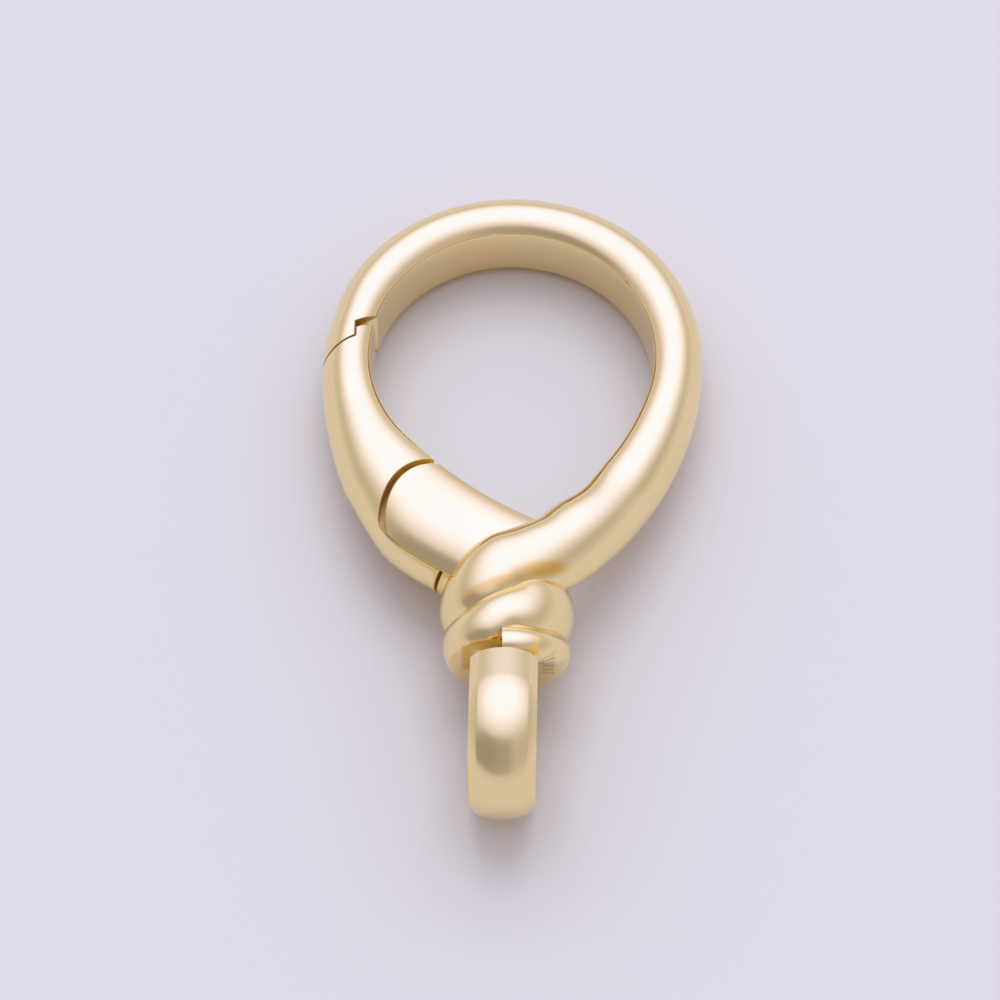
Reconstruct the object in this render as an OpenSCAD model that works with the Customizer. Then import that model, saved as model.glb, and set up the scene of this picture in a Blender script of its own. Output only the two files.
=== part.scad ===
// A spring-gate clasp: a teardrop ring with a gate that swings inward, a twisted neck and a round bail.
// The clasp is modelled lying on a flat surface, with the bail towards -Y and the ring towards +Y.

/* [Ring] */
// Radius of the round inner wall of the ring
ring_r = 7.25; // [7:0.05:7.5]
// Distance from the centre of the bail to the centre of the ring
ring_y = 21; // [20.8:0.1:21.2]
// Height of the bar of the ring
bar_h = 4.2; // [4:0.1:4.4]
// Height of the flat inner wall of the ring
wall_h = 3.2; // [2.8:0.1:3.4]

/* [Neck] */
// Radius over the turns of the wound neck
neck_r = 3.42; // [3.3:0.02:3.5]
// Distance from the centre of the bail to the flat end of the neck
neck_end = 3.8; // [3.7:0.05:3.9]

/* [Bail] */
// Outer radius of the bail
bail_r = 4.15; // [4:0.05:4.3]
// Radius of the eye of the bail
eye_r = 2.95; // [2.7:0.05:3.1]
// Width of the bail
bail_w = 3.3; // [3:0.1:3.6]

/* [Gate] */
// Thickness of the tail of the gate
tail_h = 2.2; // [2:0.1:2.4]
// Gap on each side of the tail in its slot
tail_gap = 0.06; // [0.04:0.01:0.1]
// Gap between the shoulder of the gate and the lip that it closes against
latch_gap = 0.07; // [0.05:0.01:0.1]
// Furthest that the gate swings inward, in degrees
gate_swing = 20; // [15:1:22]
// Radius of the hinge pin
pin_r = 0.5; // [0.45:0.05:0.6]
// Radial play between the hinge pin and the gate
pin_play = 0.04; // [0.02:0.01:0.08]

/* [Hidden] */
$fn = 48;
gold = [0.84, 0.74, 0.56];
far = 40;
// Points round the outline of every section
round_points = 20;

// The bar round the ring. Columns: direction from the centre of the ring in degrees, width.
right_widths = [[-62, 3.55], [-50, 3.42], [-40, 3.15], [-25, 2.8], [-10, 2.55], [15, 2.65], [45, 2.85],
    [90, 2.75], [120, 2.72], [150, 2.6], [165, 2.42], [190, 2.5]];
// Columns: direction, width, height over that of the bar
left_widths = [[150, 2.6, 0], [165, 2.42, 0], [180, 2.46, 0], [192, 2.6, 0], [205, 2.95, 0],
    [215, 3.45, 0.05], [223, 4.0, 0.1],
    [228, 4.65, 0.16], [232, 5.1, 0.2], [240, 5.1, 0.2], [252, 5.1, 0.2]];
// Turns of the wound neck. Columns: turn in degrees from the front, place along the neck, width,
// thickness, how far inside the neck's radius.
turns = [[0, 8.27, 3.65, 2.5, 0], [22, 7.78, 3.65, 2.4, 0], [45, 7.25, 3.6, 2.3, 0.03],
    [90, 6.88, 2.95, 2.2, 0.1], [180, 6.8, 2.9, 2.0, 0.02], [270, 6.68, 3.3, 2.0, 0],
    [310, 6.34, 3.38, 2.1, 0], [335, 5.75, 3.0, 2.1, 0], [360, 5.4, 2.5, 2.1, 0.02],
    [382, 4.95, 2.7, 2.1, 0.1], [410, 4.75, 2.5, 2.0, 0.22], [450, 4.85, 2.5, 2.0, 0.32],
    [540, 4.6, 2.5, 2.0, 0.22], [630, 4.55, 2.1, 2.0, 0.15], [670, 4.45, 1.6, 2.0, 0.12],
    [695, 4.38, 1.3, 2.0, 0.12], [731, 4.38, 1.3, 2.0, 0.12]];
turn_flat = 0.3;
// The turn at which the wire is cut off
turn_end = 731;

// The inner wall follows the ring's circle and opens into a wider arc on each side
right_from = -15;
right_r = 12.4;
left_from = 222;
left_r = 20.15;
// Where each bar stops, and the step between its sections
ring_stop = 188;
gate_stop = 156;
arm_end = -50;
root_end = 246;
root_reach = 2.3;
ring_step = 6;
root_step = 15;
turn_step = 15;
twist_steps = 12;
twist_pull = 5.5;
// Shares of the twist passed before the bar leans over, and before its flat wall narrows
lean_from = 0.25;
flat_from = 0.6;

// Solid heart of the neck, inside the turns
core_r = 2.5;
core_top = 7.4;
neck_edge = 1.0;
// The rounded end of the neck sits towards the front, which leaves the front edge sharper
edge_lift = 0.6;

// Cross-section of the bail: a crown with a narrow bevel on each side
crown_r = 2.7;
bevel_low = 0.7;
bail_skin = 1;

// Hinge: the end of the stub, the hollow in the gate round it, and the lug on the tail
pivot = [-3.05, 11.25];
stub_r = 3.08;
gate_r = 3.4;
lug_r = 1.75;
pin_top = 1.75;
pin_bottom = 1.95;
pin_fit = 0.01;
slot_swing = 3;

// Tail, measured from the pivot: where it starts, its tip, and the directions along and into the stub
tail_lead = 128;
tail_reach = 4.5;
tail_side = -6;
tail_foot = -4;
tail_tip = [-0.3, -2.8];
tail_way = [0.78, -0.62];
tail_in = [0.62, 0.78];
tail_deep = 1.1;
tail_over = 1.5;
tail_gap_end = 0.2;

// Latch: the lip is an arc about the pivot, so that the gate swings free of it
lip_r = 11.5;
step_x = -8.05;
seat = [[-8.05, 22.44], [-6.2, 23.45]];
tongue = [[-8.05, 22.08], [-6.2, 22.92]];
latch_low = 15;
latch_right = -4;
// Edges of the stub's end and of the gate, in the plan
stub_right = -1.5;
stub_low = 9;
gate_right = -3.2;
gate_low = 10.8;

// Value of a column of a table at x, on a smooth curve through its rows
function smooth(table, x, col, i = 0) =
    x <= table[0][0] ? table[0][col] :
    i >= len(table) - 1 ? table[len(table) - 1][col] :
    x > table[i + 1][0] ? smooth(table, x, col, i + 1) :
    let (a = table[i], b = table[i + 1], t = (x - a[0]) / (b[0] - a[0]),
        before = table[max(i - 1, 0)], after = table[min(i + 2, len(table) - 1)],
        slope_a = (b[col] - before[col]) / (b[0] - before[0]) * (b[0] - a[0]),
        slope_b = (after[col] - a[col]) / (after[0] - a[0]) * (b[0] - a[0]))
    curve(t, a[col], slope_a, b[col], slope_b);
function curve(t, a, slope_a, b, slope_b) = (2 * t ^ 3 - 3 * t ^ 2 + 1) * a
    + (t ^ 3 - 2 * t ^ 2 + t) * slope_a + (3 * t ^ 2 - 2 * t ^ 3) * b + (t ^ 3 - t ^ 2) * slope_b;
function ease(t) = 3 * t ^ 2 - 2 * t ^ 3;
function ease_from(t, from) = ease(max(t - from, 0) / (1 - from));
function unit(v) = v / norm(v);
function ray(a) = [cos(a), sin(a), 0];
function wall_point(a, from, wide_r, side) =
    [0, ring_y, 0] + (side * a > side * from ? ring_r * ray(a)
        : (ring_r - wide_r) * ray(from) + wide_r * ray(a));

// A section: its centre, the way it faces, the way across, thickness, width and share of flat inner wall.
wall_share = wall_h / bar_h;
function ring_section(a, p, w, h) = [p + ray(a) * w / 2, ray(a), [0, 0, 1], w, h, wall_share];
function right_section(a) =
    ring_section(a, wall_point(a, right_from, right_r, 1), smooth(right_widths, a, 1), bar_h);
function left_section(a) =
    ring_section(a, wall_point(a, left_from, left_r, -1), smooth(left_widths, a, 1),
        bar_h + smooth(left_widths, a, 2));
// The left bar closes in a round end inside the neck
function root_section(t) =
    let (s = left_section(root_end), along = ray(root_end + 90))
    [s[0] + along * root_reach * sin(t), s[1], s[2], s[3] * cos(t), s[4] * cos(t), s[5]];

function turn_centre(a) =
    let (r = neck_r - smooth(turns, a, 4) - smooth(turns, a, 3) / 2)
    [-r * sin(a), smooth(turns, a, 1), r * cos(a)];
function turn_section(a) =
    let (out = [-sin(a), 0, cos(a)], along = unit(turn_centre(a + 1) - turn_centre(a - 1)))
    [turn_centre(a), out, cross(along, out), smooth(turns, a, 3), smooth(turns, a, 2), turn_flat];

// The arm leaves the ring, rises and twists a quarter turn until it lies on the front of the neck.
twist_from = right_section(arm_end);
twist_to = turn_section(0);
from_way = twist_pull * -ray(arm_end + 90);
to_way = twist_pull * unit(turn_centre(1) - turn_centre(-1));
function twist_point(t) = curve(t, twist_from[0], from_way, twist_to[0], to_way);
function twist_section(t) =
    let (along = unit(twist_point(t + 0.01) - twist_point(t - 0.01)), lean = 90 * ease_from(t, lean_from),
        level = unit(cross([0, 0, 1], along)), rise = cross(along, level),
        out = cos(lean) * level + sin(lean) * rise, share = ease_from(t, flat_from))
    [twist_point(t), out, cross(along, out),
        for (i = [3:4]) twist_from[i] + (twist_to[i] - twist_from[i]) * ease(t),
        twist_from[5] + (twist_to[5] - twist_from[5]) * share];

// The outline of a section: a flat inner wall with sharp edges and a domed outer side
function outline(s) =
    let (k = sqrt(1 - s[5] ^ 2), a = s[3] / (1 + k), edge = acos(-k))
    [for (i = [0:round_points - 1])
        let (f = edge * (2 * i / (round_points - 1) - 1))
        s[0] + s[1] * (k * a + a * cos(f) - s[3] / 2) + s[2] * s[4] / 2 * sin(f)];

module sweep(sections) {
    n = round_points;
    rings = [for (s = sections) outline(s)];
    last = (len(rings) - 1) * n;
    walls = [for (i = [0:len(rings) - 2]) for (j = [0:n - 1])
        let (k = (j + 1) % n)
        each [[i * n + j, i * n + n + j, i * n + k], [i * n + k, i * n + n + j, i * n + n + k]]];
    polyhedron([for (r = rings) each r], concat([[0, for (j = [1:n - 1]) j]],
        [[last, for (j = [1:n - 1]) last + n - j]], walls), convexity = 8);
}

// The clasp rests on the bail and on the far end of the ring, with the origin below its middle.
wall_k = sqrt(1 - wall_share ^ 2);
top_w = smooth(right_widths, 90, 1);
rest_tilt = asin((bail_r - bar_h / 2) / (ring_y + ring_r + top_w * wall_k / (1 + wall_k)));
middle_y = ((ring_y + ring_r + top_w) * cos(rest_tilt) - bail_r) / 2;
module lie() translate([0, -middle_y, bail_r]) rotate([-rest_tilt, 0, 0]) children();

module pin_hole(r, low, high) translate([pivot[0], pivot[1], low]) cylinder(r = r, h = high - low);
module slab(h) translate([0, 0, -h / 2]) linear_extrude(h) children();

// The plan of the tail, with room round it for its slot: open is how far it swings
module tail_plan(gap, end_gap, open) {
    lead = tail_lead - open;
    tip = tail_tip + end_gap * tail_way;
    translate(pivot) {
        circle(lug_r + gap);
        polygon([[0, 0], tail_reach * [cos(lead), sin(lead)], [tail_side, tail_reach],
            [tail_side, tail_foot], tip - tail_over * tail_in, tip + (tail_deep + gap) * tail_in]);
    }
}

// The plan of all that lies below a line of the latch, to the right of the step
module below(line, step) {
    way = line[1] - line[0];
    start = line[0] - step * way;
    polygon([[start[0], latch_low], start, line[1] + way, [line[1][0] + way[0], latch_low]]);
}

module frame_bar() {
    sweep([for (a = [ring_stop:-ring_step:arm_end + 1]) right_section(a),
        for (i = [0:twist_steps]) twist_section(i / twist_steps),
        for (a = [turn_step:turn_step:165]) turn_section(a)]);
}
module left_bar() {
    sweep([for (t = [90 - root_step:-root_step:1]) root_section(t),
        for (a = [root_end:-4:gate_stop]) left_section(a)]);
}
module lower_turns() {
    sweep([for (a = [165:turn_step:495]) turn_section(a)]);
    sweep([for (a = [495:turn_step:turn_end - 1]) turn_section(a), turn_section(turn_end)]);
}
module ring_end() {
    difference() {
        frame_bar();
        slab(far) intersection() {
            translate([-far, latch_low]) square([far + latch_right, far]);
            union() {
                translate(pivot) circle(lip_r, $fn = 360);
                below(seat, 0);
            }
        }
    }
}
module stub() {
    difference() {
        left_bar();
        slab(far) difference() {
            translate([-far, stub_low]) square([far + stub_right, far]);
            translate(pivot) circle(stub_r);
        }
        slab(tail_h + 2 * tail_gap) tail_plan(tail_gap, tail_gap_end, gate_swing + slot_swing);
    }
}
module neck() {
    intersection() {
        union() {
            lower_turns();
            rotate([-90, 0, 0]) cylinder(r = core_r, h = core_top);
            translate([0, core_top, 0]) sphere(core_r);
        }
        translate([0, 0, edge_lift]) rotate([-90, 0, 0]) rotate_extrude() polygon([[0, neck_end],
            for (a = [-90:10:0]) [neck_r + neck_edge * (cos(a) - 1), neck_end + neck_edge * (1 + sin(a))],
            [far, far], [0, far]]);
    }
}
module bail() {
    half = bail_w / 2;
    rotate([0, 90, 0]) rotate_extrude() intersection() {
        polygon([[eye_r - bail_skin, -half], [bail_r - bevel_low, -half], [bail_r, bevel_low - half],
            [bail_r, half - bevel_low], [bail_r - bevel_low, half], [eye_r - bail_skin, half]]);
        translate([bail_r - crown_r, 0]) circle(crown_r);
    }
}

module body() {
    color(gold) lie() difference() {
        union() {
            ring_end();
            stub();
            neck();
            bail();
        }
        rotate([0, 90, 0]) cylinder(r = eye_r, h = far, center = true);
        pin_hole(pin_r + pin_fit, -far, pin_top + pin_fit);
    }
}

module gate() {
    color(gold) lie() difference() {
        intersection() {
            left_bar();
            union() {
                slab(tail_h) tail_plan(0, 0, 0);
                slab(far) difference() {
                    union() {
                        translate(pivot) circle(lip_r - latch_gap, $fn = 360);
                        translate([latch_gap, 0]) below(tongue, 0);
                    }
                    translate(pivot) circle(gate_r);
                    translate([gate_right, 0]) square(far);
                    translate([-far, gate_low - far]) square([2 * far, far]);
                }
            }
        }
        pin_hole(pin_r + pin_play, -far / 2, far / 2);
    }
}
module hinge_pin() color(gold) lie() pin_hole(pin_r, -pin_bottom, pin_top);

body();
gate();
hinge_pin();
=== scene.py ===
from math import acos, asin, cos, pi, radians, sin, sqrt

import bmesh
import bpy
from mathutils import Matrix, Vector


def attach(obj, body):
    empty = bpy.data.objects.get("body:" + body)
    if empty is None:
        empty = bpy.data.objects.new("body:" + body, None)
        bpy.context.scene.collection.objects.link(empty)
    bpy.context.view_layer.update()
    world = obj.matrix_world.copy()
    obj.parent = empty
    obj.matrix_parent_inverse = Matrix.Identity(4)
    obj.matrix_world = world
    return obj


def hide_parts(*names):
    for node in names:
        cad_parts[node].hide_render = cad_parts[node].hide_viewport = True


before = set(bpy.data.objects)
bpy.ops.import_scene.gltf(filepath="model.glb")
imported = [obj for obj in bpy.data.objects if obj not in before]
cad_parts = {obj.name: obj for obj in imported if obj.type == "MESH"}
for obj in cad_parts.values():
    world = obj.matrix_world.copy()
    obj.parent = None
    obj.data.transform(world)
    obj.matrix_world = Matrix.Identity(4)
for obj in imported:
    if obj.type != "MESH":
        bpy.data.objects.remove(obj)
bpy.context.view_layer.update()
mm = 0.001

# The clasp's own sizes in millimetres, in the plane of the ring. The bail's centre is the
# origin, +Y runs to the ring and +Z comes out of the front.
ring = {
    "r": 7.25, "y": 21.0, "barHeight": 4.2, "wallHeight": 3.2, "corner": 0.14, "twistCorner": 0.05,
    "rightFrom": -15, "rightR": 13.5, "leftFrom": 222, "leftR": 20.15,
    "top": 188, "arm": -35.82, "gateTop": 156, "stubTop": 205, "root": 246, "rootReach": 2.3,
    # degrees from one section of the bar to the next
    "step": 1.5, "gateStep": 1.25, "rootStep": 4,
    # direction from the ring's centre, width
    "right": [(-62, 3.55), (-50, 3.42), (-40, 3.15), (-25, 2.8), (-10, 2.55), (15, 2.65), (45, 2.85),
              (90, 2.75), (120, 2.72), (150, 2.6), (165, 2.42), (190, 2.5)],
    # direction, width, height over that of the bar
    "left": [(150, 2.6, 0), (165, 2.42, 0), (180, 2.46, 0), (192, 2.6, 0), (205, 2.95, 0),
             (215, 3.45, 0.05), (223, 4.0, 0.1), (228, 4.65, 0.16), (232, 5.1, 0.2), (240, 5.1, 0.2),
             (252, 5.1, 0.2)],
}
neck = {
    "r": 3.42, "end": 3.8, "edge": 1.0, "edgeLift": 0.6, "coreR": 2.5, "coreTop": 7.4, "coreSteps": 96,
    "flat": 0.3,
    # the arm's way to the front: how straight it starts and ends, how far it sags and swells
    "pull": 7.25, "pullEnd": 7.46, "steeper": 0.05, "sag": 0.385, "wider": 0.14, "higher": 0.14,
    # and the shares of that way where it leans, where its flat wall is widest, and where it rounds
    "leanFrom": 0.175, "wallMid": 0.86, "wallBy": 0.588, "flatFrom": 0.553,
    "twistSteps": 48, "last": 731, "turnStep": 3, "tailStep": 2,
    # turn from the front, place along the neck, width, thickness, how far inside the neck's radius
    "turns": [(0, 8.27, 3.65, 2.5, 0), (22, 7.78, 3.65, 2.4, 0), (45, 7.25, 3.6, 2.3, 0.03),
              (90, 6.88, 2.95, 2.2, 0.1), (180, 6.8, 2.9, 2.0, 0.02), (270, 6.68, 3.3, 2.0, 0),
              (310, 6.34, 3.38, 2.1, 0), (335, 5.75, 3.0, 2.1, 0), (360, 5.4, 2.5, 2.1, 0.02),
              (382, 4.95, 2.7, 2.1, 0.1), (410, 4.75, 2.5, 2.0, 0.22), (450, 4.85, 2.5, 2.0, 0.32),
              (540, 4.6, 2.5, 2.0, 0.22), (630, 4.55, 2.1, 2.0, 0.18), (670, 4.45, 1.6, 2.0, 0.35),
              (695, 4.38, 1.3, 2.0, 0.45), (731, 4.38, 1.3, 2.0, 0.45)],
    # the wire's end lies over the root of the bail: the same columns
    "tailEnd": [(622, 4.6, 1.3, 1.5, 0.4), (645, 4.3, 1.5, 1.6, 0.12), (670, 3.98, 1.6, 1.6, 0.04),
                (695, 3.76, 1.6, 1.6, 0.0), (722, 3.66, 1.6, 1.6, 0.0)],
}


def curve(t, a, slopeA, b, slopeB):
    return (a * (2 * t ** 3 - 3 * t ** 2 + 1) + slopeA * (t ** 3 - 2 * t ** 2 + t)
            + b * (3 * t ** 2 - 2 * t ** 3) + slopeB * (t ** 3 - t ** 2))


def smoothAt(table, x, col):
    # a column of a table, read at x along a smooth curve through its rows
    if x <= table[0][0]:
        return table[0][col]
    for i in range(len(table) - 1):
        a, b = table[i], table[i + 1]
        if x <= b[0]:
            before, after = table[max(i - 1, 0)], table[min(i + 2, len(table) - 1)]
            t, span = (x - a[0]) / (b[0] - a[0]), b[0] - a[0]
            return curve(t, a[col], (b[col] - before[col]) / (b[0] - before[0]) * span,
                         b[col], (after[col] - a[col]) / (after[0] - a[0]) * span)
    return table[-1][col]


def ease(t):
    return 3 * t ** 2 - 2 * t ** 3


def gentle(t):
    t = max(t, 0)
    return t ** 3 * (10 - 15 * t + 6 * t ** 2)


def ray(a):
    return Vector((cos(radians(a)), sin(radians(a)), 0))


def wallPoint(a, start, wideR, side):
    # the inside of the ring: round at the top, on a wider circle past the start angle
    middle = Vector((0, ring["y"], 0))
    if side * a > side * start:
        return middle + ray(a) * ring["r"]
    return middle + ray(start) * (ring["r"] - wideR) + ray(a) * wideR


# A section is its centre, the way it faces, the way across, width, height and share of flat wall
wallShare = ring["wallHeight"] / ring["barHeight"]


def barSection(a, p, w, h):
    return p + ray(a) * (w / 2), ray(a), Vector((0, 0, 1)), w, h, wallShare


def rightSection(a):
    p = wallPoint(a, ring["rightFrom"], ring["rightR"], 1)
    return barSection(a, p, smoothAt(ring["right"], a, 1), ring["barHeight"])


def leftSection(a):
    p = wallPoint(a, ring["leftFrom"], ring["leftR"], -1)
    height = ring["barHeight"] + smoothAt(ring["left"], a, 2)
    return barSection(a, p, smoothAt(ring["left"], a, 1), height)


def rootSection(t):
    # the round end of the left side, inside the neck
    c, out, across, w, h, share = leftSection(ring["root"])
    along, s = ray(ring["root"] + 90), max(cos(radians(t)), 0.03)
    return c + along * (ring["rootReach"] * sin(radians(t))), out, across, w * s, h * s, share


def turnCentre(a, table=neck["turns"]):
    r, t = neck["r"] - smoothAt(table, a, 4) - smoothAt(table, a, 3) / 2, radians(a)
    return Vector((-r * sin(t), smoothAt(table, a, 1), r * cos(t)))


def turnSection(a, table=neck["turns"]):
    out = Vector((-sin(radians(a)), 0, cos(radians(a))))
    along = (turnCentre(a + 1, table) - turnCentre(a - 1, table)).normalized()
    w, h = smoothAt(table, a, 3), smoothAt(table, a, 2)
    return turnCentre(a, table), out, along.cross(out), w, h, neck["flat"]


twistFrom, twistTo = rightSection(ring["arm"]), turnSection(0)
fromWay = ray(ring["arm"] + 90) * -neck["pull"]
toWay = (turnCentre(1) - turnCentre(-1)).normalized() - Vector((0, neck["steeper"], 0))
toWay = toWay.normalized() * neck["pullEnd"]
sagWay = ray(ring["arm"])


def swell(t):
    # 0 at both ends, 1 half way
    return 16 * (t * (1 - t)) ** 2


def twistPoint(t):
    return curve(t, twistFrom[0], fromWay, twistTo[0], toWay) + sagWay * (swell(t) * neck["sag"])


def twistSection(t):
    # the arm on its way to the front of the neck: it turns from facing outwards to facing up
    along = twistPoint(t + 0.01) - twistPoint(t - 0.01)
    along.z = 0
    along.normalize()
    lean = radians(90 * gentle((t - neck["leanFrom"]) / (1 - neck["leanFrom"])))
    level = Vector((0, 0, 1)).cross(along)
    out = level * cos(lean) + along.cross(level) * sin(lean)
    w, h = (twistFrom[i] + (twistTo[i] - twistFrom[i]) * ease(t) + swell(t) * neck[more]
            for i, more in ((3, "wider"), (4, "higher")))
    share = wallShare + (neck["wallMid"] - wallShare) * gentle(min(t / neck["wallBy"], 1))
    share += (neck["flat"] - share) * gentle((t - neck["flatFrom"]) / (1 - neck["flatFrom"]))
    return twistPoint(t), out, along.cross(out), w, h, share


def outline(section, dome=44, corner=4, wall=4):
    # round the section from the middle of its flat wall: wall, corner, dome, corner, wall
    c, out, across, w, h, share = section
    k = sqrt(1 - share ** 2)
    a, b, edge = w / (1 + k), h / 2, acos(-k)
    soft = ring["corner"] if share > wallShare - 0.001 else ring["twistCorner"]
    turn = soft / sqrt((a * sin(edge)) ** 2 + (b * cos(edge)) ** 2)

    def domePoint(f):
        return Vector((k * a + a * cos(f) - w / 2, b * sin(f)))

    point = Vector((-w / 2, b * sin(edge)))
    wallEnd = Vector((-w / 2, point.y - soft))
    middle = Vector((-w / 2, 0))
    half = [wallEnd * (i / (wall / 2)) + middle * (1 - i / (wall / 2)) for i in range(wall // 2)]
    start = domePoint(edge - turn)
    for i in range(corner + 1):
        t = i / corner
        half.append(wallEnd * (1 - t) ** 2 + point * (2 * t * (1 - t)) + start * t ** 2)
    bow = [domePoint((edge - turn) * (1 - 2 * i / dome)) for i in range(1, dome)]
    other = [Vector((p.x, -p.y)) for p in reversed(half)]
    return [c + out * p.x + across * p.y for p in half + bow + other]


def skin(rows):
    # a grid rolled into a tube, one row of points for each outline, its ends closed
    nx, ny = len(rows) - 1, len(rows[0]) - 1
    bm = bmesh.new()
    bmesh.ops.create_grid(bm, x_segments=nx, y_segments=ny, size=1)
    for v in bm.verts:
        v.co = rows[round((v.co.x + 1) / 2 * nx)][round((v.co.y + 1) / 2 * ny)]
    bmesh.ops.remove_doubles(bm, verts=bm.verts, dist=1e-5)
    bmesh.ops.holes_fill(bm, edges=bm.edges, sides=0)
    bmesh.ops.recalc_face_normals(bm, faces=bm.faces)
    return bm


def tube(sections):
    return skin([outline(s) for s in sections])


tall = 12.0     # reaches past the clasp in front and behind


def plate(points, low=-tall, high=tall):
    # a flat outline, raised into a plate
    bm = bmesh.new()
    bm.faces.new([bm.verts.new((p[0], p[1], low)) for p in points])
    raised = bmesh.ops.extrude_face_region(bm, geom=bm.faces[:])["geom"]
    bmesh.ops.translate(bm, verts=[v for v in raised if isinstance(v, bmesh.types.BMVert)],
                        vec=(0, 0, high - low))
    bmesh.ops.recalc_face_normals(bm, faces=bm.faces)
    return bm


def arc(centre, r, a, b, n):
    turns = [radians(a + (b - a) * i / n) for i in range(n + 1)]
    return [(centre[0] + r * cos(t), centre[1] + r * sin(t)) for t in turns]


def circle(centre, r, n):
    return arc(centre, r, 0, 360 - 360 / n, n - 1)


def lathe(points, axis, steps):
    # an outline of (radius, place) spun round an axis of the clasp: X or Y
    bm = bmesh.new()
    verts = [bm.verts.new((r, 0, z)) for r, z in points]
    for i, v in enumerate(verts):
        bm.edges.new((v, verts[(i + 1) % len(verts)]))
    bmesh.ops.spin(bm, geom=bm.verts[:] + bm.edges[:], cent=(0, 0, 0), axis=(0, 0, 1), angle=2 * pi,
                   steps=steps, use_merge=True)
    bmesh.ops.remove_doubles(bm, verts=bm.verts, dist=1e-5)
    turn = Matrix.Rotation(pi / 2, 4, "Y") if axis == "X" else Matrix.Rotation(-pi / 2, 4, "X")
    bmesh.ops.transform(bm, matrix=turn, verts=bm.verts)
    bmesh.ops.recalc_face_normals(bm, faces=bm.faces)
    return bm


def toObject(bm, name):
    mesh = bpy.data.meshes.new(name)
    bm.to_mesh(mesh)
    bm.free()
    obj = bpy.data.objects.new(name, mesh)
    bpy.context.scene.collection.objects.link(obj)
    return obj


def combine(bm, tool, how):
    # one Boolean step between two closed shapes; the tool is used up
    target, cutter = toObject(bm, "target"), toObject(tool, "cutter")
    mod = target.modifiers.new("cut", "BOOLEAN")
    mod.operation, mod.solver, mod.object = how, "EXACT", cutter
    bpy.context.view_layer.update()
    ready = target.evaluated_get(bpy.context.evaluated_depsgraph_get())
    done = bpy.data.meshes.new_from_object(ready)
    out = bmesh.new()
    out.from_mesh(done)
    for obj in (target, cutter):
        old = obj.data
        bpy.data.objects.remove(obj)
        bpy.data.meshes.remove(old)
    bpy.data.meshes.remove(done)
    bmesh.ops.remove_doubles(out, verts=out.verts, dist=1e-4)
    bmesh.ops.dissolve_degenerate(out, edges=out.edges, dist=1e-4)
    return out


def join(*parts):
    whole = bmesh.new()
    for bm in parts:
        step = bpy.data.meshes.new("step")
        bm.to_mesh(step)
        bm.free()
        whole.from_mesh(step)
        bpy.data.meshes.remove(step)
    return whole


bail = {
    "r": 4.15, "eye": 2.95, "eyeSteps": 240, "width": 3.3, "crown": 2.7, "crownSteps": 20, "bevel": 0.7,
    # straight shoulders, front and back: where each leaves the round, and its length
    "shoulders": ((20, 1.8), (35, 3.0)), "shoulderSteps": 4, "roundSteps": 200,
    # how far the loop reaches inside the eye before it is drilled
    "skin": 1.0,
}
# The clasp lies on its bail and on the far end of the ring
wallK = sqrt(1 - wallShare ** 2)
topWidth = smoothAt(ring["right"], 90, 1)
farEnd = ring["y"] + ring["r"]
tilt = asin((bail["r"] - ring["barHeight"] / 2) / (farEnd + topWidth * wallK / (1 + wallK)))
middleY = ((farEnd + topWidth) * cos(tilt) - bail["r"]) / 2
lay = (Matrix.Scale(mm, 4) @ Matrix.Translation((0, -middleY, bail["r"]))
       @ Matrix.Rotation(-tilt, 4, "X"))
sharpFrom = 32      # degrees between two faces that make an edge


def finishPiece(bm, name, body, nodes):
    bmesh.ops.transform(bm, matrix=lay, verts=bm.verts)
    obj = toObject(bm, name)
    for p in obj.data.polygons:
        p.use_smooth = True
    obj.data.set_sharp_from_angle(angle=radians(sharpFrom))
    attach(obj, body)
    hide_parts(*nodes)
    return obj


# The gate turns about a pin through its tail, which lies in a slot of the stub. The tail's
# places are measured from the pin.
hinge = {
    "at": (-3.05, 11.25), "pinR": 0.5, "play": 0.04, "lugR": 1.75, "lugSteps": 120,
    "stubR": 3.08, "stubArc": (59.8, 226.9), "gateR": 3.4, "gateArc": (92.53, 187.61), "arcSteps": 96,
    # what is cut off the left side to leave the stub
    "stubCut": ((-13, 9), (-13, 24), (-1.5, 24)),
    "tailHeight": 2.2, "tailGap": 0.06, "endGap": 0.2, "swing": 23, "lead": 128, "reach": 4.5,
    "tailLeft": -6, "tailLow": -4,
    # the tail's slanting end: its middle, the way to the neck, the way along it, and both lengths
    "tip": (-0.3, -2.8), "way": (0.78, -0.62), "into": (0.62, 0.78), "deep": 1.1, "over": 1.5,
}
# The gate's free end: a lip round the pin, a step up and a slanting seat for the tongue
latch = {
    "lipR": 11.5, "gap": 0.07, "stepX": -8.05, "lipTop": 90, "bodyLip": 161, "gateLip": 182,
    "seat": ((-8.05, 22.44), (-6.2, 23.45)), "tongue": ((-8.05, 22.08), (-6.2, 22.92)),
    "low": 15, "gateLow": 10.8, "gateRight": -3.2,
}
at = hinge["at"]


def tailPlan(gap, endGap, swing):
    lead = hinge["lead"] - swing
    tip = Vector(hinge["tip"]) + Vector(hinge["way"]) * endGap
    into = Vector(hinge["into"])
    left, low, reach = hinge["tailLeft"], hinge["tailLow"], hinge["reach"]
    corners = [Vector((0, 0)), reach * ray(lead).xy, Vector((left, reach)), Vector((left, low)),
               tip - into * hinge["over"], tip + into * (hinge["deep"] + gap)]
    return [(at[0] + p[0], at[1] + p[1]) for p in corners]


def tailShape(gap, endGap, swing, height):
    lug = plate(circle(at, hinge["lugR"] + gap, hinge["lugSteps"]), -height / 2, height / 2)
    return combine(plate(tailPlan(gap, endGap, swing), -height / 2, height / 2), lug, "UNION")


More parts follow.
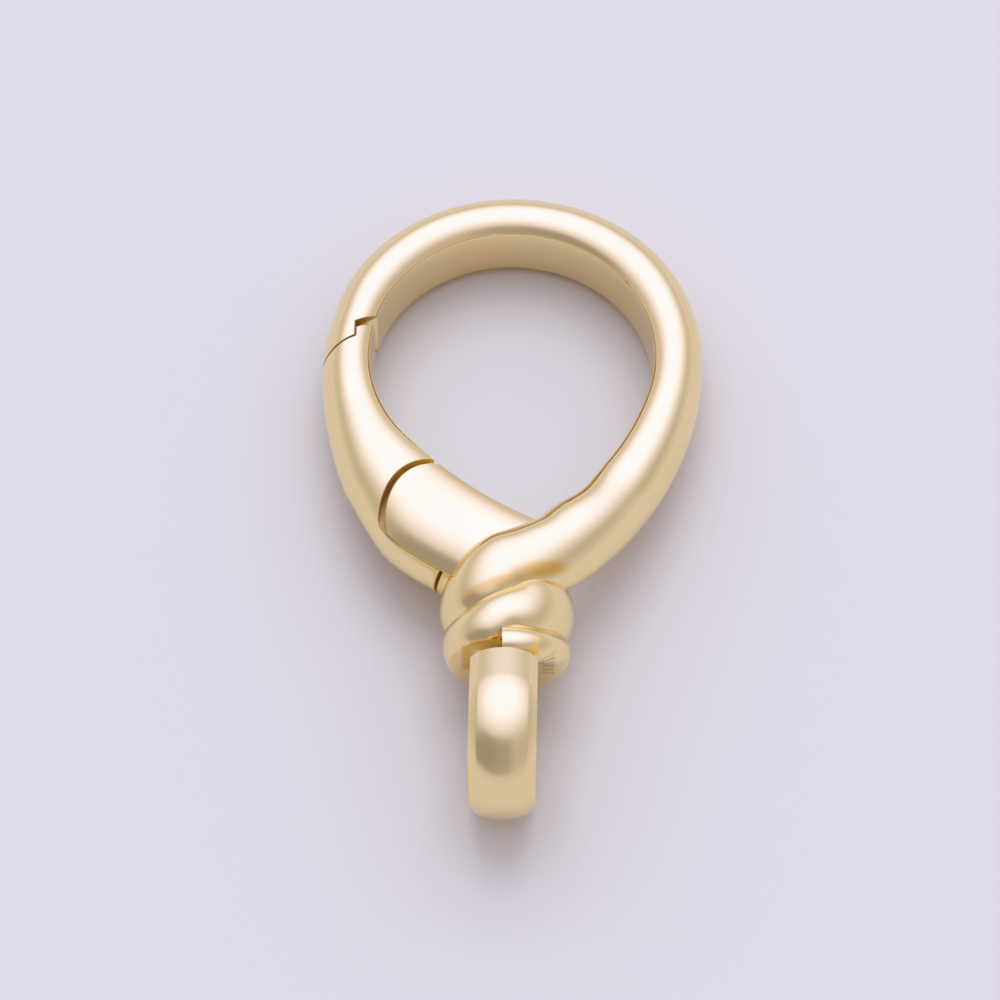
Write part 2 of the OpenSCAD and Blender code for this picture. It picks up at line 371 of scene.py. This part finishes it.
def lipEdge(r, x, start, lowest=-tall):
    # the lip, one point for each degree, and the height where the step at x meets it
    lip = [p for p in arc(at, r, start, latch["lipTop"], start - latch["lipTop"])
           if p[0] < x and p[1] > lowest]
    return lip, at[1] + sqrt(r ** 2 - (x - at[0]) ** 2)


def makeBar():
    # the ring, its twist and the turns of the neck are one bar
    count = int((ring["top"] - ring["arm"]) / ring["step"])
    turnSteps = neck["last"] // neck["turnStep"]
    sections = [rightSection(ring["top"] - i * ring["step"]) for i in range(count)]
    sections += [twistSection(i / neck["twistSteps"]) for i in range(neck["twistSteps"] + 1)]
    sections += [turnSection(neck["last"] * i / turnSteps) for i in range(1, turnSteps + 1)]
    # the latch end is cut away below the lip and the seat
    x = latch["stepX"]
    lip, high = lipEdge(latch["lipR"], x, latch["bodyLip"])
    s0, s1 = (Vector(p) for p in latch["seat"])
    end = s1 + (s1 - s0)
    below = [(lip[0][0], latch["low"]), *lip, (x, high), tuple(s0), tuple(end), (end[0], latch["low"])]
    bar = combine(tube(sections), plate(below), "DIFFERENCE")
    print("bar", len(bar.faces), flush=True)
    return bar


def makeStub():
    count = int((ring["root"] - ring["stubTop"]) / ring["step"])
    stub = tube([rootSection(t) for t in range(88, 0, -ring["rootStep"])]
                + [leftSection(ring["root"] - i * ring["step"]) for i in range(count)])
    side = arc(at, hinge["stubR"], *hinge["stubArc"], hinge["arcSteps"])
    stub = combine(stub, plate([*hinge["stubCut"], *side]), "DIFFERENCE")
    gap = hinge["tailGap"]
    slot = tailShape(gap, hinge["endGap"], hinge["swing"], hinge["tailHeight"] + 2 * gap)
    stub = combine(stub, slot, "DIFFERENCE")
    print("stub", len(stub.faces), flush=True)
    return stub


def endNeck(bar):
    # the flat end of the neck, its round edge, and the core inside the turns
    r, end, edge = neck["r"], neck["end"], neck["edge"]
    bmesh.ops.bisect_plane(bar, geom=bar.verts[:] + bar.edges[:] + bar.faces[:], dist=1e-5,
                           plane_co=(0, end, 0), plane_no=(0, -1, 0), clear_outer=True)
    bmesh.ops.holes_fill(bar, edges=[e for e in bar.edges if e.is_boundary], sides=0)
    print("open edges of the bar", sum(e.is_boundary for e in bar.edges), flush=True)
    for v in bar.verts:
        up, lift = v.co.y - end, min(max(v.co.z, 0), neck["edgeLift"])
        far = sqrt(v.co.x ** 2 + (v.co.z - lift) ** 2)
        if up < edge:
            limit = r - edge + sqrt(edge ** 2 - (edge - max(up, 0)) ** 2)
            if far > limit:
                v.co.x *= limit / far
                v.co.z = lift + (v.co.z - lift) * limit / far
    coreR, low = neck["coreR"], end + 0.01
    coreTop = [(coreR * cos(radians(a)), neck["coreTop"] + coreR * sin(radians(a)))
               for a in range(0, 90, 6)]
    core = lathe([(0.001, low), (r - edge, low), (coreR, low + 0.08), *coreTop,
                  (0.001, neck["coreTop"] + coreR)], "Y", neck["coreSteps"])
    return join(bar, core)


def makeBail():
    half, top, crown = bail["width"] / 2, bail["r"], bail["crown"]
    centre, flank = top - crown, top - bail["bevel"]
    # where the crown meets the bevel's line, r + x = flank + half
    reach = next(a / 100 for a in range(0, 9000)
                 if centre + crown * cos(radians(a / 100)) + crown * sin(radians(a / 100))
                 > flank + half)
    n = bail["crownSteps"]
    face = [(centre + crown * cos(radians(a)), crown * sin(radians(a)))
            for a in [reach * (i / n - 1) for i in range(2 * n + 1)]]
    inner = bail["eye"] - bail["skin"]
    profile = [(inner, -half), (flank, -half), *face, (flank, half), (inner, half), (inner, -half)]

    def strip(a, run=0.0):
        # the bail's profile at angle a round the eye, moved along its straight shoulder
        out = Vector((0, -sin(radians(a)), cos(radians(a))))
        way = Vector((0, cos(radians(a)), sin(radians(a))))
        return [out * r + way * run + Vector((w, 0, 0)) for r, w in profile]

    (front, frontRun), (rear, rearRun) = bail["shoulders"]
    n, m = bail["shoulderSteps"], bail["roundSteps"]
    rows = [strip(-front, frontRun * (1 - i / n)) for i in range(n)]
    rows += [strip(-front + i * (180 + front + rear) / m) for i in range(m + 1)]
    rows += [strip(180 + rear, -rearRun * (i + 1) / n) for i in range(n)]
    eye = bail["eye"]
    hole = lathe([(0.001, -tall), (eye, -tall), (eye, tall), (0.001, tall)], "X", bail["eyeSteps"])
    loop = combine(skin(rows), hole, "DIFFERENCE")
    print("bail", len(loop.faces), flush=True)
    return loop


def makeBody():
    bar, stub = makeBar(), makeStub()
    wound, loop = endNeck(bar), makeBail()
    table = neck["tailEnd"]
    wireEnd = tube([turnSection(a, table)
                    for a in range(table[0][0], table[-1][0] + 1, neck["tailStep"])])
    return join(wound, stub, loop, wireEnd)


def makeGate():
    count = int((ring["root"] - ring["gateTop"]) / ring["gateStep"])
    barLeft = tube([leftSection(ring["root"] - i * ring["gateStep"]) for i in range(count)])
    gap, low, x = latch["gap"], latch["gateLow"], latch["stepX"] + latch["gap"]
    lip, high = lipEdge(latch["lipR"] - gap, x, latch["gateLip"], low)
    t0, t1 = (Vector(p) + Vector((gap, 0)) for p in latch["tongue"])
    end = t1 + (t1 - t0) / 2
    hollow = arc(at, hinge["gateR"], *hinge["gateArc"], hinge["arcSteps"])
    whole = plate([(lip[0][0], low), *lip, (x, high), tuple(t0), tuple(end),
                   (latch["gateRight"], end[1]), *hollow])
    tail = tailShape(0, 0, 0, hinge["tailHeight"])
    gate = combine(barLeft, combine(whole, tail, "UNION"), "INTERSECT")
    hole = plate(circle(at, hinge["pinR"] + hinge["play"], hinge["arcSteps"]))
    gate = combine(gate, hole, "DIFFERENCE")
    print("gate", len(gate.faces), flush=True)
    return gate


body = finishPiece(makeBody(), "clasp_body", "frame", ["body"])
gate = finishPiece(makeGate(), "clasp_gate", "gate", ["gate"])
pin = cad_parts["hinge_pin"]


# Shader maths as plain expressions
class Num:
    def __init__(self, tree, socket):
        self.tree, self.socket = tree, socket

    def math(self, kind, *others):
        node = self.tree.nodes.new("ShaderNodeMath")
        node.operation = kind
        for i, value in enumerate((self, *others)):
            if isinstance(value, Num):
                self.tree.links.new(value.socket, node.inputs[i])
            else:
                node.inputs[i].default_value = value
        return Num(self.tree, node.outputs[0])

    def __add__(self, o): return self.math("ADD", o)
    def __radd__(self, o): return self.math("ADD", o)
    def __sub__(self, o): return self.math("SUBTRACT", o)
    def __rsub__(self, o): return (self * -1) + o
    def __mul__(self, o): return self.math("MULTIPLY", o)
    def __rmul__(self, o): return self.math("MULTIPLY", o)
    def __truediv__(self, o): return self.math("DIVIDE", o)
    def __pow__(self, o): return self.math("POWER", o)
    def size(self): return self.math("ABSOLUTE")

    def step(self, low, high):
        # 0 below low, 1 above high, smooth between
        t = ((self - low) / (high - low)).math("MINIMUM", 1.0).math("MAXIMUM", 0.0)
        return t * t * (3 - 2 * t)


class Shader:
    def __init__(self, tree):
        self.tree = tree
        tree.nodes.clear()

    def node(self, kind, settings=(), **sockets):
        # a socket goes by its name, or by i and its number
        made = self.tree.nodes.new(kind)
        for key, value in dict(settings).items():
            setattr(made, key, value)
        for key, value in sockets.items():
            numbered = key[0] == "i" and key[1:].isdigit()
            socket = made.inputs[int(key[1:]) if numbered else key.replace("_", " ")]
            if isinstance(value, Num):
                self.tree.links.new(value.socket, socket)
            elif isinstance(value, bpy.types.NodeSocket):
                self.tree.links.new(value, socket)
            else:
                socket.default_value = value
        return made

    def mix(self, share, a, b):
        return self.node("ShaderNodeMix", {"data_type": "RGBA"}, Factor=share, i6=a, i7=b).outputs[2]

    def noise(self, coords, scale, detail):
        made = self.node("ShaderNodeTexNoise", Vector=coords, Scale=scale, Detail=detail)
        return Num(self.tree, made.outputs["Fac"])


# Painted shade and glow in the gaps of hinge, tail and latch, where the light can't get in; their
# places in the ring's own millimetres
gapShadePlaces = {
    "ringFrom": hinge["stubR"] - 0.03, "ringTo": hinge["gateR"] + 0.03, "right": -1.45,
    "slot": hinge["tailHeight"] / 2 + 0.03, "slotWide": 0.05, "slotTo": 3.4,
    "twistX": -3.5, "twistY": 9.0, "notch": (-3.4, 8.3), "notchTall": 0.75,
    "lip": latch["lipR"] - 0.035, "lipWide": 0.06, "seatWide": 0.22, "seatTo": -6.3, "seatFrom": 1.4,
    "stepWide": 0.06, "stepMiddle": 22.0, "stepTall": 0.44,
    # painted shade beside the bail's root, under the wire's end
    "recessX": 1.66, "recessY": (3.13, 3.84), "recessZ": (1.6, 2.95),
}
# Painted amber shade and gold mirrored in gold: where the arm rolls into the neck, along the groove
# under it, and left of the bail
paintedAmber = {
    "glow": (1.7, 7.72, 2.75), "glowSize": (2.2, 0.55, 1.2), "glowSlope": 0.25,
    "groove": 6.98, "grooveSlope": 0.36, "grooveWide": 0.08, "grooveX": 0.3, "grooveReach": 1.8,
    "besideX": -1.85, "besideZ": 0.8, "low": 4.2,
}
# A patch the polish missed, right of the bail: fine lines across the neck's end
unpolished = {"x": 2.13, "z": 0.7, "wide": 0.26, "tall": 1.3, "low": 4.5, "lines": 18}


def ringAxes(sh, coords):
    # object coordinates, turned back to the ring's plane and its millimetres
    axes = sh.node("ShaderNodeSeparateXYZ", Vector=coords)
    x, y, z = (Num(sh.tree, axes.outputs[i]) / mm for i in range(3))
    y, z = y + middleY, z - bail["r"]
    return x, y * cos(tilt) - z * sin(tilt), y * sin(tilt) + z * cos(tilt)


def near(value, place, wide, soft=0.02):
    return 1 - (value - place).size().step(wide, wide + soft)


def distance(*parts):
    total = parts[0] ** 2
    for part in parts[1:]:
        total = total + part ** 2
    return total ** 0.5


# where shade and glow are painted: the gaps, slot, lip, seat, step, recess and notch
def gapShadeMask(x, y, z):
    dx, dy, high = x - at[0], y - at[1], z.size()
    d = (dx * dx + dy * dy) ** 0.5
    inside = 1 - x.step(gapShadePlaces["right"] - 0.05, gapShadePlaces["right"])
    # painted shade in the round gap, but not on the gate's tail, which runs across it, nor on the twist
    middle = (gapShadePlaces["ringFrom"] + gapShadePlaces["ringTo"]) / 2
    joint = near(d, middle, gapShadePlaces["ringTo"] - middle) * inside
    joint = joint * high.step(gapShadePlaces["slot"], gapShadePlaces["slot"] + 0.05)
    right, above = gapShadePlaces["twistX"], gapShadePlaces["twistY"]
    joint = joint * (1 - x.step(right - 0.05, right + 0.05) * (1 - y.step(above - 0.1, above + 0.1)))
    slot = near(high, gapShadePlaces["slot"], gapShadePlaces["slotWide"]) * inside
    slot = slot * (1 - d.step(gapShadePlaces["slotTo"], gapShadePlaces["slotTo"] + 0.02))
    # painted shade in the notch
    notchX, notchY = gapShadePlaces["notch"]
    notch = near(x, notchX, 0.15, 0.2) * near(y, notchY, gapShadePlaces["notchTall"])
    notch = notch * (1 - high.step(1.15, 1.2)) * 0.6
    lip = near(d, gapShadePlaces["lip"], gapShadePlaces["lipWide"])
    lip = lip * (1 - x.step(latch["stepX"], latch["stepX"] + 0.05))
    # half way between the seat and the tongue
    (x0, y0), (x1, y1) = latch["seat"]
    (_, u0), (_, u1) = latch["tongue"]
    slope = (y1 + u1 - y0 - u0) / 2 / (x1 - x0)
    line = (x - x0) * slope + (y0 + u0) / 2
    seat = near(y - line, 0, gapShadePlaces["seatWide"]) * x.step(x0 - 0.03, x0)
    seat = seat * (1 - x.step(gapShadePlaces["seatTo"], gapShadePlaces["seatTo"] + 0.1))
    seat = seat * high.step(gapShadePlaces["seatFrom"], gapShadePlaces["seatFrom"] + 0.2)
    step = near(x, x0 + latch["gap"] / 2, gapShadePlaces["stepWide"])
    step = step * near(y, gapShadePlaces["stepMiddle"], gapShadePlaces["stepTall"])
    (low, top), (back, front), side = gapShadePlaces["recessY"], gapShadePlaces["recessZ"], gapShadePlaces["recessX"]
    recess = z.step(back, back + 0.2) * (1 - z.step(front, front + 0.15))
    recess = recess * (1 - x.size().step(side, side + 0.04))
    recess = recess * y.step(low - 0.03, low) * (1 - y.step(top, top + 0.04))
    whole = joint
    for mask in (slot, lip, seat, step, recess, notch):
        whole = whole.math("MAXIMUM", mask)
    return whole


# painted amber shade and reflection: a glow where the arm rolls in, the groove under it, and beside the
# bail
def paintedAmberMask(x, y, z):
    (gx, gy, gz), (sx, sy, sz) = paintedAmber["glow"], paintedAmber["glowSize"]
    slanted = y - (x - gx) * paintedAmber["glowSlope"]
    glow = 1 - distance((x - gx) / sx, (slanted - gy) / sy, (z - gz) / sz).step(0.3, 1.0)
    groove = near(y - x * paintedAmber["grooveSlope"], paintedAmber["groove"], paintedAmber["grooveWide"], 0.3)
    groove = groove * near(x, paintedAmber["grooveX"], paintedAmber["grooveReach"], 1.0) * z.step(1.8, 2.2)
    beside = near(x, paintedAmber["besideX"], 0.12, 0.25) * near(z, paintedAmber["besideZ"], 1.0, 0.5)
    beside = beside * (1 - y.step(paintedAmber["low"], paintedAmber["low"] + 0.6))
    return (glow * 0.85).math("MAXIMUM", groove * 0.6).math("MAXIMUM", beside * 0.9)


def linedMask(x, y, z):
    patch = near(x, unpolished["x"], unpolished["wide"], 0.15)
    patch = patch * near(z, unpolished["z"], unpolished["tall"], 0.3)
    patch = patch * (1 - y.step(unpolished["low"], unpolished["low"] + 0.3))
    return patch * ((z * unpolished["lines"]).math("SINE") * 0.35 + 0.4)


# Polished metal: two tones that drift over the piece, fine grain, a lined patch, and painted shade,
# glow and amber reflection in its gaps and grooves
paleGold = {"name": "pale_gold", "base": (0.955, 0.765, 0.41, 1), "deep": (0.945, 0.75, 0.39, 1),
            "rough": 0.05}
pinGold = {"name": "pin_gold", "base": (0.78, 0.62, 0.40, 1), "deep": (0.74, 0.58, 0.37, 1),
           "rough": 0.25}
finish = {
    "toneScale": 260.0, "grainScale": 2400.0, "bump": 0.04, "bumpDeep": 0.00002,
    "paintedAmber": (0.86, 0.5, 0.1, 1), "lined": (0.6, 0.4, 0.15, 1),
    # painted shade in the gaps, with a painted glow where they open to the light, darker to the left
    "gapShadeDark": (0.5, 0.26, 0.05, 1), "paintedGapGlow": (0.95, 0.64, 0.14, 1), "gapShadeFade": (-6.4, -4.6),
    "grainRough": 0.04, "gapRough": 0.25, "linedRough": 0.4, "gapDull": 0.6,
}


def makeGold(kind):
    mat = bpy.data.materials.new(kind["name"])
    mat.use_nodes = True
    sh = Shader(mat.node_tree)
    coords = sh.node("ShaderNodeTexCoord").outputs["Object"]
    tone = sh.mix(sh.noise(coords, finish["toneScale"], 2.0).step(0.3, 0.7), kind["base"], kind["deep"])
    axes = ringAxes(sh, coords)
    gap, lined = gapShadeMask(*axes), linedMask(*axes)
    # the painted gap shade: dark to the left, a painted glow where the gaps open to the light
    gapShadeColour = sh.mix(axes[0].step(*finish["gapShadeFade"]), finish["gapShadeDark"], finish["paintedGapGlow"])
    # painted amber shade and reflection over the groove, the arm's roll and beside the bail
    tone = sh.mix(paintedAmberMask(*axes), tone, finish["paintedAmber"])
    tone = sh.mix(lined, tone, finish["lined"])
    # painted shade and glow laid over the gaps
    tone = sh.mix(gap, tone, gapShadeColour)
    grain = sh.noise(coords, finish["grainScale"], 3.0)
    bump = sh.node("ShaderNodeBump", Height=grain, Strength=finish["bump"],
                   Distance=finish["bumpDeep"]).outputs[0]
    rough = grain * finish["grainRough"] + gap * finish["gapRough"] + lined * finish["linedRough"]
    shine = sh.node("ShaderNodeBsdfPrincipled", Base_Color=tone, Metallic=1 - gap * finish["gapDull"],
                    Roughness=rough + kind["rough"], Normal=bump)
    sh.node("ShaderNodeOutputMaterial", Surface=shine.outputs[0])
    return mat


gold = makeGold(paleGold)
for obj in (body, gate):
    obj.data.materials.clear()
    obj.data.materials.append(gold)
pinMetal = makeGold(pinGold)
for s in pin.material_slots:
    s.material = pinMetal
print("materials", flush=True)

# Pale paper floor
paper = {"size": 0.6, "colour": (0.745, 0.675, 0.545, 1), "rough": 0.7}
bm = bmesh.new()
bmesh.ops.create_grid(bm, x_segments=1, y_segments=1, size=paper["size"])
floor = toObject(bm, "floor")
mat = bpy.data.materials.new("floor_paper")
mat.use_nodes = True
sh = Shader(mat.node_tree)
shine = sh.node("ShaderNodeBsdfPrincipled", Base_Color=paper["colour"], Roughness=paper["rough"])
sh.node("ShaderNodeOutputMaterial", Surface=shine.outputs[0])
floor.data.materials.append(mat)

# Soft daylight from a wide diffuser above and behind, fading into a dim room. Angles in degrees.
daylight = {
    "way": (0, cos(radians(60)), sin(radians(60))),
    # for each of red, green and blue: the room, what the diffuser adds, its edge and where it is full
    "red": (0.57, 0.47, 70, 30), "green": (0.54, 0.72, 72, 18), "blue": (0.6, 1.7, 72, 12),
    "horizon": (0.67, 0.66, 0.74), "horizonTop": 24,
    # the dim belt round the diffuser, in front and darker to the left
    "beltFrom": 50, "beltTo": 62, "belt": 0.22, "beltLeft": 0.12,
    # a faint dark oval, low in front
    "oval": 40, "ovalWide": 0.5, "ovalTall": 0.22, "ovalDark": 0.05,
}
world = bpy.data.worlds.new("studio")
bpy.context.scene.world = world
world.use_nodes = True
sh = Shader(world.node_tree)
looking = sh.node("ShaderNodeTexCoord").outputs["Generated"]


def toward(way):
    # how far the direction looked in points this way
    dot = sh.node("ShaderNodeVectorMath", {"operation": "DOT_PRODUCT"}, i0=looking, i1=way)
    return Num(world.node_tree, dot.outputs["Value"])


sideways, back, up = toward((1, 0, 0)), toward((0, 1, 0)), toward((0, 0, 1))
far = toward(daylight["way"]).math("ARCCOSINE") * (180 / pi)
front = 1 - back.step(-0.45, 0.05)
belt = far.step(daylight["beltFrom"], daylight["beltTo"]) * up.step(0.1, 0.3) * front
belt = belt * (1 - sideways.step(0.1, 0.5))
shade = 1 - belt * (daylight["belt"] + daylight["beltLeft"] * (1 - sideways.step(-0.5, 0.1)))
slant = radians(daylight["oval"])
oval = distance(sideways / daylight["ovalWide"],
                toward((0, sin(slant), cos(slant))) / daylight["ovalTall"])
shade = shade * (1 - daylight["ovalDark"] * (1 - oval.step(0.6, 1.5)) * front.step(0.5, 0.6))
low = 1 - up.step(0, sin(radians(daylight["horizonTop"])))
levels = [((room + full * (1 - far.step(inner, edge))) * (1 - low) + level * low) * shade
          for (room, full, edge, inner), level in
          zip((daylight["red"], daylight["green"], daylight["blue"]), daylight["horizon"])]
sky = sh.node("ShaderNodeCombineXYZ", X=levels[0], Y=levels[1], Z=levels[2]).outputs[0]
glow = sh.node("ShaderNodeBackground", Color=sky, Strength=1.0)
sh.node("ShaderNodeOutputWorld", Surface=glow.outputs[0])

# The window behind the diffuser, too soft to show in the metal
window = bpy.data.lights.new("window", "SUN")
window.energy, window.angle, window.color = 0.8, radians(40), (0.95, 1.0, 1.0)
lamp = bpy.data.objects.new("window", window)
lamp.rotation_euler = Vector(daylight["way"]).to_track_quat("Z", "Y").to_euler()
lamp.visible_glossy = False
bpy.context.scene.collection.objects.link(lamp)
bpy.context.scene.view_settings.view_transform = "Standard"
print("light", flush=True)

# The camera: 60 degrees above the plane of the ring, a little to the right. Its place and its
# three axes (right, up, back) are in the ring's own millimetres.
cameraAt = (1.904, -90.05, 178.94)
cameraAxes = ((0.99974, 0.02269, 0.0), (-0.01965, 0.8658, 0.5), (0.01134, -0.49987, 0.86603))
turned = (Matrix.Rotation(-tilt, 3, "X") @ Matrix(cameraAxes).transposed()).to_4x4()
cam = bpy.data.cameras.new("camera")
cam.sensor_width, cam.lens = 36, 147.6
cam.clip_start, cam.clip_end = 0.01, 10
camera = bpy.data.objects.new("camera", cam)
camera.matrix_world = Matrix.Translation(lay @ Vector(cameraAt)) @ turned
bpy.context.scene.collection.objects.link(camera)
bpy.context.scene.camera = camera
